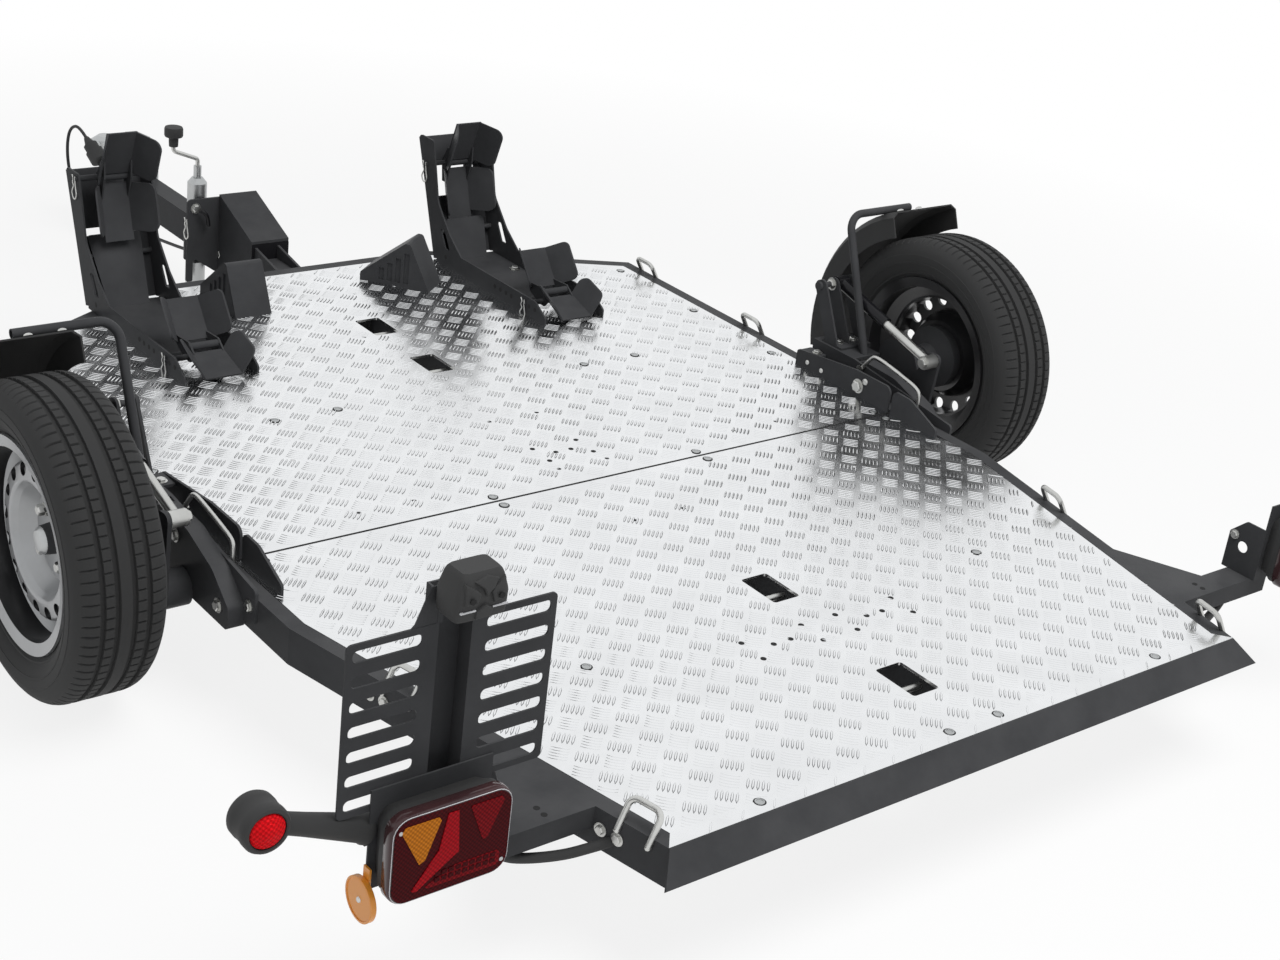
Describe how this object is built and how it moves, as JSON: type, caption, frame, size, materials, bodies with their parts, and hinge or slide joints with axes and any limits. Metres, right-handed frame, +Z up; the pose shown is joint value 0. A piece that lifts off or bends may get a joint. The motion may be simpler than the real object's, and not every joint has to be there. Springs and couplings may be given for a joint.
{
  "type": "motorcycle trailer",
  "caption": "Low flatbed trailer for two motorcycles, with tread-plate deck, wheel chocks, lashing eyes, swing-arm wheels, drawbar with jack and rear lamps.",
  "frame": {"origin": "on the ground, centred across the wheels, half way between the rear lip and the nose of the coupling", "axes": "+Y towards the drawbar, +X to the right when facing forward, +Z up"},
  "size_m": [2.4358, 3.234, 0.6813],
  "materials": {
    "dark_frame_paint": "dark grey satin powder coat",
    "tread_plate": "rolled five-bar tread plate",
    "zinc_plated_steel": "bright zinc",
    "tyre_rubber": "matt rubber",
    "wheel_silver": "silver paint",
    "black_plastic": "moulded, slightly grained",
    "black_paint": "satin black paint",
    "lamp_lens": "clear moulded lens, red",
    "amber_lens": "prismatic amber lens"
  },
  "bodies": {
    "platform": {"side_frame_left": "dark_frame_paint", "side_frame_right": "dark_frame_paint", "front_frame": "dark_frame_paint", "rear_frame": "dark_frame_paint", "ramp_lip": "dark_frame_paint", "deck_plate_rear": "tread_plate", "deck_plate_front": "tread_plate", "cross_tubes": "dark_frame_paint", "centre_rails": "dark_frame_paint", "lashing_bars": "zinc_plated_steel", "drawbar": "dark_frame_paint", "drawbar_bracket": "dark_frame_paint", "cover_box": "dark_frame_paint", "jack_bracket": "dark_frame_paint", "jack_tube": "zinc_plated_steel", "coupling_head": "zinc_plated_steel", "supply_cable": "black_plastic", "supply_plug": "black_plastic", "plug_cup": "black_plastic", "plate_holder": "dark_frame_paint", "plate_lamp": "black_plastic", "stowed_wedges": "dark_frame_paint", "lashing_eyes": "zinc_plated_steel", "inner_wheel_brackets": "dark_frame_paint", "outer_wheel_brackets": "dark_frame_paint", "strut_towers": "dark_frame_paint", "mudguards": "black_plastic", "mudguard_stays": "dark_frame_paint", "lamp_arms": "dark_frame_paint", "lamp_brackets": "dark_frame_paint", "tail_lamps": "lamp_lens", "marker_lamps": "black_plastic", "side_reflectors": "amber_lens", "chock_stands": "dark_frame_paint", "chock_jaws": "dark_frame_paint", "shock_body_left": "black_paint", "shock_body_right": "black_paint"},
    "jack_leg": {"jack_leg": "zinc_plated_steel"},
    "jack_crank": {"jack_crank": "zinc_plated_steel"},
    "arm_left": {"swing_arm_left": "dark_frame_paint"},
    "wheel_left": {"tyre_left": "tyre_rubber", "rim_left": "wheel_silver", "wheel_disc_left": "wheel_silver", "hub_left": "dark_frame_paint"},
    "shock_rod_left": {"shock_rod_left": "zinc_plated_steel"},
    "cradle_left": {"chock_cradle_left": "dark_frame_paint"},
    "arm_right": {"swing_arm_right": "dark_frame_paint"},
    "wheel_right": {"tyre_right": "tyre_rubber", "rim_right": "wheel_silver", "wheel_disc_right": "wheel_silver", "hub_right": "dark_frame_paint"},
    "shock_rod_right": {"shock_rod_right": "zinc_plated_steel"},
    "cradle_right": {"chock_cradle_right": "dark_frame_paint"}
  },
  "joints": [
    {"name": "arm_left_swing", "type": "hinge", "parent": "platform", "child": "arm_left", "pos_m": [-0.86, -0.546, 0.168], "axis": [1, 0, 0], "range_deg": [-12, 12]},
    {"name": "wheel_left_spin", "type": "hinge", "parent": "arm_left", "child": "wheel_left", "pos_m": [-1.024, -0.473, 0.265], "axis": [1, 0, 0], "continuous": true},
    {"name": "shock_left_travel", "type": "slide", "parent": "platform", "child": "shock_rod_left", "axis": [0, -0.9665, -0.2566], "range_m": [-0.0326, 0.0326]},
    {"name": "cradle_left_rock", "type": "hinge", "parent": "platform", "child": "cradle_left", "pos_m": [-0.435, 0.171, 0.244], "axis": [1, 0, 0], "range_deg": [-25, 0]},
    {"name": "arm_right_swing", "type": "hinge", "parent": "platform", "child": "arm_right", "pos_m": [0.86, -0.546, 0.168], "axis": [1, 0, 0], "range_deg": [-12, 12]},
    {"name": "wheel_right_spin", "type": "hinge", "parent": "arm_right", "child": "wheel_right", "pos_m": [1.024, -0.473, 0.265], "axis": [1, 0, 0], "continuous": true},
    {"name": "shock_right_travel", "type": "slide", "parent": "platform", "child": "shock_rod_right", "axis": [0, -0.9665, -0.2566], "range_m": [-0.0326, 0.0326]},
    {"name": "cradle_right_rock", "type": "hinge", "parent": "platform", "child": "cradle_right", "pos_m": [0.435, 0.171, 0.244], "axis": [1, 0, 0], "range_deg": [-25, 0]},
    {"name": "jack_leg_slide", "type": "slide", "parent": "platform", "child": "jack_leg", "axis": [0, 0, 1], "range_m": [-0.12, 0.066]},
    {"name": "jack_crank_turn", "type": "hinge", "parent": "platform", "child": "jack_crank", "pos_m": [-0.078, 0.909, 0.38], "axis": [0, 0, 1], "continuous": true}
  ],
  "couplings": [
    {"joint": "shock_left_travel", "follows": "arm_left_swing", "m_per_rad": 0.15106},
    {"joint": "shock_right_travel", "follows": "arm_right_swing", "m_per_rad": 0.15106}
  ]
}
